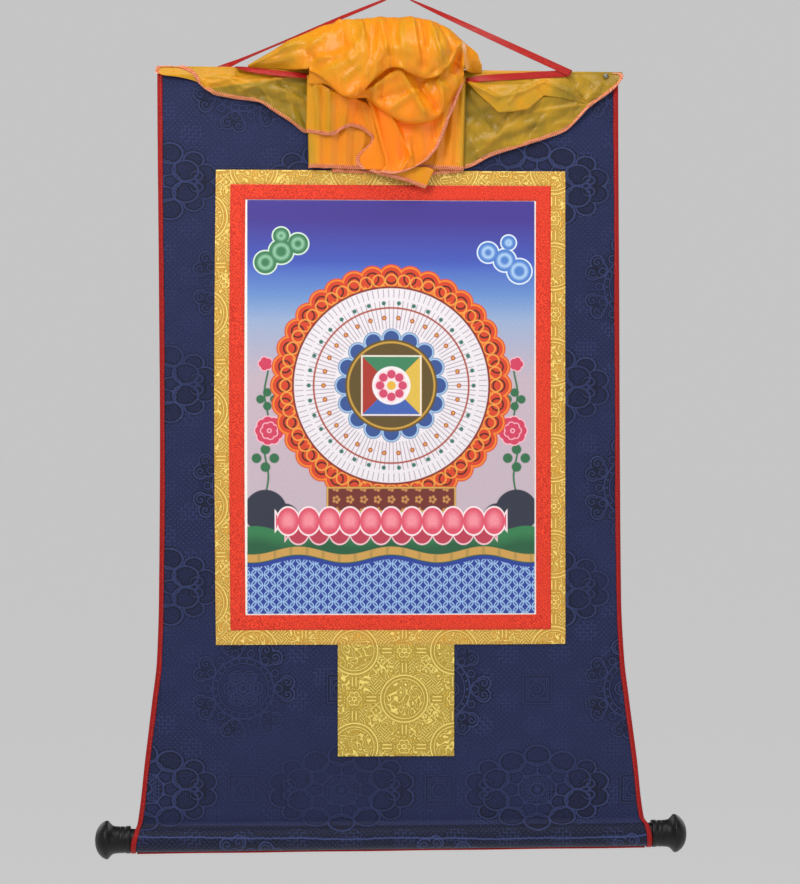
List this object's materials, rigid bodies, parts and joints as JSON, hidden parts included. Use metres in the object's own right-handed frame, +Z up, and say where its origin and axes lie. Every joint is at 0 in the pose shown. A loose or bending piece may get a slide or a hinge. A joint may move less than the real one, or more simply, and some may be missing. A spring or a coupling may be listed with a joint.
{
  "type": "thangka scroll painting",
  "caption": "Cloth scroll for a wall: a framed picture on a flared brocade mount with a dowel and turned finials at its foot, a red hanging ribbon, and a silk veil gathered up over a tie.",
  "frame": {"origin": "the place under the hanging ribbon's bend where a nail holds it", "axes": "+X to the right as seen from the front, +Y towards the wall, +Z up"},
  "size_m": [0.603, 0.0751, 0.8798],
  "materials": {
    "navy_brocade": "matt silk and rayon brocade with a tone-on-tone raised pattern",
    "red_binding": "plain red cotton tape",
    "gold_brocade": "soft metallic sheen, gold brocade with a woven pattern",
    "red_silk": "fine red twill",
    "print": null,
    "veil_silk": "thin glossy yellow silk, folded and a little sheer",
    "ribbon": "dark red satin ribbon",
    "black_wood": "turned wood, black satin lacquer",
    "raw_wood": "plain round wood",
    "steel": "dull nail head"
  },
  "bodies": {
    "root": {"door_panel": "gold_brocade", "dowel": "raw_wood", "finial_left": "black_wood", "finial_right": "black_wood", "gold_border_bottom": "gold_brocade", "gold_border_left": "gold_brocade", "gold_border_right": "gold_brocade", "gold_border_top": "gold_brocade", "hanging_cord": "ribbon", "hem_binding": "red_binding", "mount_panel": "navy_brocade", "picture_panel": "print", "red_border_bottom": "red_silk", "red_border_left": "red_silk", "red_border_right": "red_silk", "red_border_top": "red_silk", "side_binding_left": "red_binding", "side_binding_right": "red_binding", "tack": "steel", "tie_ribbon": "ribbon", "veil": "veil_silk"}
  },
  "joints": []
}
